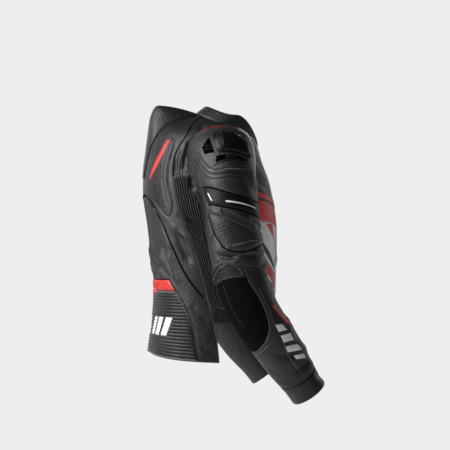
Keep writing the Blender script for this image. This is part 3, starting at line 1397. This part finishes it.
class Trim(Gathered):
    """Small pieces of one look, gathered into one mesh."""

    def tube(self, group, places, radius, lift, wide=1.0, pitch=2.4, corners=7):
        """A cord sewn along a run, thinner at its ends; lift is its middle's height."""
        points, normal, along = paced(group, places, pitch)
        side = np.cross(along, normal)
        turn = np.linspace(0, 2 * math.pi, corners, endpoint=False)
        rows = len(points)
        step = np.arange(rows)
        size = radius * np.clip(np.minimum(step + 0.35, rows - 0.65 - step) / 1.6, 0.25, 1)
        up, out = np.cos(turn)[:, None], (np.sin(turn) * wide)[:, None]
        ring = (normal[:, None] * up + side[:, None] * out) * size[:, None, None]
        ring = points[:, None] + normal[:, None] * lift + ring
        index = np.arange(rows * corners).reshape(rows, corners)
        following = np.roll(index, -1, 1)
        faces = np.stack([index[:-1], following[:-1], following[1:], index[1:]], -1).reshape(-1, 4)
        self.put(ring, faces.tolist() + [index[0, ::-1].tolist(), index[-1].tolist()])

    def beads(self, points, normal, along, size, corners=4, lift=0.0):
        """Small studs at points: size is their half-length, half-width and height."""
        side = np.cross(along, normal)
        turn = np.linspace(0, 2 * math.pi, corners, endpoint=False)
        ring = along[:, None] * (np.cos(turn) * size[0])[None, :, None]
        ring = ring + side[:, None] * (np.sin(turn) * size[1])[None, :, None]
        ends = np.stack([normal * size[2], -normal * size[2]], 1)
        every = (points + normal * lift)[:, None] + np.concatenate([ring, ends], 1)
        faces = []
        for i in range(corners):
            after = (i + 1) % corners
            faces += [[after, i, corners], [i, after, corners + 1]]
        first = range(0, len(points) * (corners + 2), corners + 2)
        self.put(every, [[number + start for number in face] for start in first for face in faces])

    def stitches(self, group, places, aside):
        """A row of stitches to one side of a run, where there is cloth."""
        length, pitch, radius = STITCH
        points, normal, along = paced(group, places, pitch)
        points = dropped(group, points + np.cross(along, normal) * aside, normal, np.nan)
        sewn = np.isfinite(points).all(1)
        sewn[[0, -1]] = False
        self.beads(points[sewn], normal[sewn], along[sewn], (length / 2, radius, radius), 4, STITCH_LIFT)

    def pad(self, group, steps, high, top, bottom, left=None, right=None, roll=1.6):
        """A thin piece with a rolled rim, laid between four runs; a side not given is straight."""
        share = [np.linspace(0, 1, count + 1) for count in steps]
        runs = (top, bottom, left or [top[0], bottom[0]], right or [top[-1], bottom[-1]])
        sides = (through(run)(share[number // 2]) for number, run in enumerate(runs))
        points, normal = on_cloth(group, patch(*sides))
        rim = np.full(points.shape[:2], np.inf)
        for axis in (0, 1):
            ahead = run_up(np.linalg.norm(np.diff(points, axis=axis), axis=2), axis)
            rim = np.minimum(rim, np.minimum(ahead, ahead.max(axis, keepdims=True) - ahead))
        upper = points + normal * (PAD_LIFT + high * smooth(rim / roll) ** 0.6)[..., None]
        self.put(np.stack([upper, points - normal * PAD_FOOT]), slab(*rim.shape).tolist())

    def save(self, name, look, sharp=60):
        """Make one piece of everything gathered."""
        # Mirrored forms turn the faces inside out, so every piece is made to face outwards.
        piece = add_mesh(name, np.concatenate(self.points), self.polygons, look, sharp=sharp)
        edit = bmesh.new()
        edit.from_mesh(piece.data)
        bmesh.ops.recalc_face_normals(edit, faces=edit.faces)
        edit.to_mesh(piece.data)
        edit.free()


# Columns: look, radius, height of its middle, and the seams or places that it follows.
TORSO_PIPING = (
    ("pierced", 1.3, 0.9, "long_high long_low"),
    ("piping", 1.5, 1.0, "long_tip stretch_foot_back waist_front waist_edge"),
    ("piping", 1.4, 1.0, "band_end kidney_side"),
    ("piping", 1.2, 0.8, "stretch_back"),
    ("pierced", 1.1, 0.5, "band_top"),
    ("piping", 1.2, 0.8, "stretch_foot"),
    ("pierced", 1.2, 0.4, "yoke_high yoke_low"),
    ("leather_red", 1.6, 0.3, [(112.5, 6), (109, 20), (104, 30), (97, 36), (90, 38), (83, 36), (77, 31)]),
)
SLEEVE_PIPING = (
    ("pierced", 1.3, 0.6, "cap_low"),
    ("pierced", 1.3, 0.6, "band_low"),
    ("pierced", 1.2, 0.6, "panel_back panel_low"),
    ("piping", 1.9, 1.0, "elbow_top"),
    ("piping", 1.6, 1.5, [(-86, 394), (-60, 376), (-37, 369), (-22, 370), (-11, 381), (-4, 398)]),
    ("piping", 1.7, 1.0, [(4, 410), (9, 430), (16, 459), (16, 489), (6, 519), (-6, 533), (-30, 548),
                          (-50, 553)]),
    ("piping", 1.5, 0.6, [(-66, 563), (-44, 559), (-20, 553)]),
    ("leather_black", 0.8, 0.0, [(-56, 406), (-54, 434), (-55, 450), (-53, 472), (-48, 500)]),
    ("leather_gloss", 1.1, 0.8, "cuff_seam"),
    ("leather_gloss", 0.7, 0.9, [(-46, 95), (-33, 108)]),
    ("leather_gloss", 0.7, 0.9, [(-49, 101), (-32, 117)]),
    ("leather_gloss", 0.7, 0.9, [(-40, 91), (-44, 110)]),
    ("leather_black", 2.5, 0.3, [(-63, 84), (-61, 110), (-51, 147), (-36, 164), (-10, 168), (20, 163),
                                 (44, 152)]),
    ("leather_black", 2.5, 0.3, [(-70, 88), (-67, 116), (-57, 153), (-38, 173), (-10, 178), (24, 173),
                                 (50, 160)]),
    ("leather_black", 2.5, 0.3, [(-78, 92), (-75, 122), (-63, 159), (-42, 182), (-10, 188), (18, 187)]),
    ("piping", 0.9, 0.1, [(46, 158), (52, 160), (58, 158)]),
)
TORSO_STITCHES = (
    "yoke_high yoke_low", "shoulder", "yoke_front neck_front", "stretch_back",
    "side_high side_chest side_stripe side_panel", "long_high long_low", "waist_edge", "waist_front",
    "band_top", "kidney_top", "kidney_side", "chest_low_side chest_low_front", "stripe_low", "hem_top",
    "hem_low_side hem_low", "edge_chest edge_chest_low edge_stripe_low edge_hem_top edge_hem",
    "waist_hem", "kidney_hem", "neck_back neck_shoulder neck_side neck_front",
)
SLEEVE_STITCHES = (
    "cap_back", "cap_front", "cap_low", "band_low", "panel_top", "panel_back panel_low", "panel_front",
    "lower_back", "elbow_low", "bend", "patch_front", "patch_back", "forearm_turn",
    "forearm_front wrist_front", "wrist_back", "cuff_seam", "cuff_seam_inner", "cuff_end", "cuff_end_inner",
)
# Thin pieces laid on: look, steps across and down, height, then the top and bottom runs, and the
# left and right runs where they are curved.
TORSO_PADS = (
    # The curved stripe on the back, and the tab that hangs from the red band.
    ("leather_red", (6, 40), 0.9, [(142.4, -23), (138.0, -21)], [(159.4, -107), (157.6, -107.5)],
     [(142.4, -23), (148.2, -56), (155.8, -86), (159.4, -107)],
     [(138.0, -21), (143.0, -57), (151.0, -88), (157.6, -107.5)]),
    ("leather_red", (14, 16), 1.4, [(180, -339), (168, -338.5)], [(180, -372), (169, -371)]),
    # The black side of the front, from under the arm to the hem.
    ("leather_black", (22, 70), 0.7,
     [(106.8, -178.8), (84, -165), (69, -153)], [(90.6, -401), (74, -402), (58, -402.5)],
     [(106.8, -178.8), (104.6, -215), (100, -278), (96, -326), (93.4, -370), (90.6, -401)],
     [(69, -156), (66, -215), (64, -300), (58, -402.5)]),
    # The front's slanting bands, on a white panel.
    ("leather_red", (40, 6), 0.8, [(63, -127), (36, -141), (9, -166)], [(63, -138), (36, -152), (9, -177)]),
    ("leather_white", (24, 60), 0.5,
     [(65, -203), (49, -201), (33, -213)], [(57.5, -402), (45, -402.5), (31, -403)],
     [(65, -203), (63.4, -300), (57.5, -402)], [(33, -213), (32.5, -300), (31, -403)]),
    ("leather_red", (10, 30), 1.0, [(50, -203), (38, -207)], [(31, -262), (31, -300)]),
    ("leather_black", (24, 8), 1.0, [(65, -212), (31, -306)], [(65, -233), (31, -322)]),
    ("leather_red", (24, 14), 1.0, [(65, -240), (31, -328)], [(64, -280), (31, -362)]),
    ("leather_black", (24, 4), 1.0, [(64, -287), (31, -368)], [(64, -292), (31, -373)]),
    ("leather_red", (20, 12), 1.0, [(63.5, -310), (36, -380)], [(63, -340), (46, -386)]),
)
SLEEVE_PADS = (
    # The band's two marks.
    ("leather_white", (6, 12), 0.7, [(-63, 205), (-58.5, 208)], [(-54, 229), (-49.5, 232)]),
    ("leather_white", (36, 4), 0.6,
     [(-20, 241), (14, 250), (52, 256)], [(-21, 244.5), (14, 253.5), (52, 259)]),
    # Behind and below the shoulder plate: a dark window, a recess and a raised lug in it.
    ("pierced", (14, 14), 0.6, [(-51, 92), (-33, 79)], [(-50, 113), (-31, 128)]),
    ("pierced", (34, 8), 0.4, [(-29, 137), (0, 143), (36, 145)], [(-33, 151), (0, 151), (36, 147)]),
    ("hard_plastic", (14, 8), 1.6, [(-10, 142), (4, 144)], [(-14, 149), (10, 149)]),
    # The tape beside the elbow patch, and the forearm's stripe and bars.
    ("piping", (3, 44), 0.6, [(20, 440), (24, 440)], [(13, 528), (16, 530)],
     [(20, 440), (24, 484), (13, 528)], [(24, 440), (28, 484), (16, 530)]),
    ("leather_red", (8, 36), 0.8, [(39, 487), (49, 490)], [(82, 566), (85, 564)],
     [(39, 487), (54, 544), (82, 566)], [(49, 490), (64, 540), (85, 564)]),
    ("leather_white", (12, 8), 0.7, [(18, 526), (36, 535)], [(15, 543), (38, 552)]),
    ("leather_white", (12, 8), 0.7, [(13, 552), (41, 562)], [(10, 568), (40, 580)]),
    ("leather_white", (14, 8), 0.7, [(8, 578), (43, 592)], [(6, 592), (42, 608)]),
    ("leather_white", (14, 8), 0.7, [(14, 606), (46, 620)], [(14, 616), (45, 631)]),
)
# The three white bars on the kidney panel: their front and back angles halfway down.
KIDNEY_BARS = ((136, 145), (149, 158), (162, 171))
KIDNEY_BAR_SLANT = 3
KIDNEY_BAR_TOP = -424
KIDNEY_BAR_FOOT = -466
# The back's fine grooves: their levels, and how far down which angles bound them on each side.
GROOVE_LEVELS = np.arange(-72, -170, -5.6)
GROOVE_DEPTHS = (66, 90, 113, 130, 150, 170)
GROOVE_LEFT = (145, 149, 152, 152, 151, 146)
GROOVE_RIGHT = (141, 140.5, 140.5, 138.5, 137, 138)
# Outlines of the pierced areas.
BACK_HOLES = ((152, -2), (145, -2), (142.5, -14), (146, -50), (155, -62), (166, -66), (165, -44), (161, -20))
ARM_HOLES = ((-54, 275), (-44, 277), (-9, 304), (-12, 309), (-36, 316), (-48, 300))
# Rows of dots on the sleeve: the run, the pitch and the dots' size.
DOT_ROWS = (
    ([(-52, 154), (-36, 166), (-11, 172), (13, 173), (43, 161)], 3.4, (1.1, 1.2, 0.45)),
    ([(10, 566), (2, 600), (6, 648)], 4.6, (1.1, 1.2, 0.45)),
    ([(-13, 335), (14, 333), (42, 331)], 3.2, (1.0, 1.1, 0.3)),
)


def inside(places, corners):
    """Which places lie inside a closed outline."""
    result = np.zeros(len(places), bool)
    for (ax, ay), (bx, by) in zip(corners, np.roll(corners, -1, 0)):
        crosses = (ay > places[:, 1]) != (by > places[:, 1])
        result ^= crosses & (places[:, 0] < (bx - ax) * (places[:, 1] - ay) / ((by - ay) or 1e-9) + ax)
    return result


def staggered(corners, first, second):
    """Places in staggered rows inside an outline; first and second are steps to the next place."""
    i, j = (part.reshape(-1, 1) for part in np.mgrid[-40:41, -40:41])
    places = np.mean(corners, 0) + i * np.array(first) + (j + 0.5 * (i % 2)) * np.array(second)
    return places[inside(places, np.array(corners))]


def pierce(trim, group, corners, first, second, size):
    """Small dark holes in staggered rows, each drawn along the row that it is in."""
    places = staggered(corners, first, second)
    points, normal = on_cloth(group, places)
    ahead, _ = on_cloth(group, places + (0.3, 0.15))
    trim.beads(points, normal, squared(ahead - points, normal), size, 8, HOLE_LIFT)


def add_trim(suffix, torso, sleeve):
    """Piping, inlays, holes and stitches on one side of the jacket."""
    trims = defaultdict(Trim)
    body, arm = ("body", torso, TORSO_CUTS), ("sleeve", sleeve, SLEEVE_CUTS)
    for (part, group, seams), rows in ((body, TORSO_PIPING), (arm, SLEEVE_PIPING)):
        for look, radius, lift, run in rows:
            places = side_of(seams, run, SEAM_FINER) if isinstance(run, str) else run
            trims[part + "_piping", look].tube(group, places, radius, lift)
    for (part, group, _), rows in ((body, TORSO_PADS), (arm, SLEEVE_PADS)):
        for look, *settings in rows:
            trims[part + "_inlay", look].pad(group, *settings)
    for front, back in KIDNEY_BARS:
        top = [(angle - KIDNEY_BAR_SLANT, KIDNEY_BAR_TOP) for angle in (back, front)]
        foot = [(angle + KIDNEY_BAR_SLANT, KIDNEY_BAR_FOOT) for angle in (back, front)]
        trims["body_inlay", "leather_white"].pad(torso, (8, 60), 0.5, top, foot, roll=1.2)
    holes = trims["pierced", "pierced"]
    for level in GROOVE_LEVELS:
        left, right = (np.interp(-level, GROOVE_DEPTHS, ends) for ends in (GROOVE_LEFT, GROOVE_RIGHT))
        run = [(left, level), ((left + right) / 2, level - 3), (right, level - 9)]
        holes.tube(torso, run, 0.6, -0.2, 1.3)
    pierce(holes, torso, BACK_HOLES, (3.3, 1.2), (-0.4, -5.8), (2.4, 1.5, 0.26))
    pierce(holes, sleeve, ARM_HOLES, (6.0, 2.6), (2.4, 6.6), (1.9, 1.3, 0.22))
    for run, pitch, size in DOT_ROWS:
        trims["sleeve_inlay", "thread_grey"].beads(*paced(sleeve, run, pitch), size, 5, BEAD_LIFT)
    for (part, group, seams), rows in ((body, TORSO_STITCHES), (arm, SLEEVE_STITCHES)):
        for words in rows:
            for aside in (-STITCH_SIDE, STITCH_SIDE):
                places = side_of(seams, words, SEAM_FINER)
                trims[part + "_stitches", "thread_black"].stitches(group, places, aside)
    for (part, look), trim in trims.items():
        trim.save(f"{part}_{look}{suffix}", look)


ZIP_SAMPLES = 600


def add_zip_teeth():
    """Teeth in two rows, left and right of the zip's middle line in turn."""
    teeth = Trim()
    for group, low, high in (("torso", -434.0, 95.0), ("collar", 1.0, COLLAR_HEIGHT - 1)):
        middle_line = np.linspace((0.0, low), (0.0, high), ZIP_SAMPLES)
        points, normal, along = paced(group, middle_line, TOOTH_PITCH)
        side = np.cross(along, normal)
        for start, shift in ((0, -TOOTH_SHIFT), (1, TOOTH_SHIFT)):
            some = slice(start, None, 2)
            middle = points[some] + side[some] * shift
            teeth.beads(middle, normal[some], side[some], TOOTH, 8, BEAD_LIFT)
    teeth.save("zip_teeth", "zip_metal", 30)


add_trim("_r", "torso", "sleeve_r")
add_trim("_l", "torso_l", "sleeve_l")
add_zip_teeth()
for node in ("zip_slider", "zip_pull"):
    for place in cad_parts[node].material_slots:
        place.material = LOOKS["zip_metal"]


# ---------------------------------------------------------------- floor, lights and camera, metres

TARGET = Vector((0.0, 0.0, -0.209))
FLOOR_HEIGHT = -1.45
FLOOR_RADIUS = 9.0
FLOOR_FADE = (2.0, 4.6)  # from its middle
BACKGROUND = (0.855, 0.855, 0.855, 1)
WORLD_LIGHT = 0.07
CAMERA_TURN = 10  # degrees behind a true side view
CAMERA_DISTANCE = 4.0
PIXELS = 450
PIXEL = 0.0024  # at the jacket's middle
SENSOR = 36.0


def add_floor():
    """A wide disc that fades into the background before its edge."""
    mesh = bpy.data.meshes.new("floor")
    disc = bmesh.new()
    bmesh.ops.create_circle(
        disc, cap_ends=True, segments=96, radius=FLOOR_RADIUS, matrix=Matrix.Translation((0, 0, FLOOR_HEIGHT))
    )
    disc.to_mesh(mesh)
    disc.free()
    nodes = Nodes("floor")
    mesh.materials.append(
        nodes.shaded({"Base Color": (0.80, 0.80, 0.80, 1), "Roughness": 0.9, "Specular IOR Level": 0.1})
    )
    length = nodes.add("VectorMath", nodes.place, operation="LENGTH").outputs["Value"]
    glow = nodes.add("Emission", Color=BACKGROUND, Strength=1.0).outputs[0]
    mix = nodes.add("MixShader", nodes.ranged(length, *FLOOR_FADE), nodes.shader.outputs[0], glow)
    nodes.end("Material Output", mix)
    add_object("floor", mesh)


def aim(thing, place, target):
    """Put a thing at a place, facing a target."""
    thing.location = place
    thing.rotation_euler = (Vector(target) - Vector(place)).to_track_quat("-Z", "Y").to_euler()


def add_light(name, place, size, power):
    """An area light that faces the jacket's middle."""
    light = bpy.data.lights.new(name, "AREA")
    light.shape = "RECTANGLE"
    light.size, light.size_y = size
    light.energy = power
    aim(add_object(name, light), place, (0.0, 0.03, -0.25))


def add_world():
    """Weak white light from all round, behind an even light grey that only the camera sees."""
    world = bpy.data.worlds.new("studio")
    bpy.context.scene.world = world
    nodes = Tree(world)
    light = nodes.add("Background", Color=(1, 1, 1, 1), Strength=WORLD_LIGHT)
    seen = nodes.add("Background", Color=BACKGROUND)
    by_camera = nodes.add("LightPath").outputs["Is Camera Ray"]
    nodes.end("World Output", nodes.add("MixShader", by_camera, light.outputs[0], seen.outputs[0]))


def add_camera():
    """The camera, level with the jacket's middle and a little behind its right side."""
    turn = math.radians(CAMERA_TURN)
    camera = bpy.data.cameras.new("camera")
    camera.sensor_width = SENSOR
    camera.lens = SENSOR * CAMERA_DISTANCE / (PIXELS * PIXEL)
    camera.clip_end = 60.0
    eye = add_object("camera", camera)
    aim(eye, TARGET + Vector((-math.cos(turn), math.sin(turn), 0.0)) * CAMERA_DISTANCE, TARGET)
    bpy.context.scene.camera = eye


add_floor()
add_world()
add_light("back_softbox", (-0.5, 2.9, 0.9), (2.2, 2.4), 122)
add_light("side_fill", (-2.2, 2.3, 0.6), (0.8, 1.2), 3)
add_light("top_back", (-1.0, 1.6, 2.2), (1.4, 1.4), 20)
add_light("front_rim", (2.75, -1.1, 0.2), (0.35, 1.8), 12)
add_light("front_softbox", (1.7, -2.6, 0.5), (1.4, 1.6), 8)
add_light("left_side", (2.6, 1.0, 0.8), (2.0, 2.0), 12)
bpy.context.scene.view_settings.view_transform = "Standard"
add_camera()
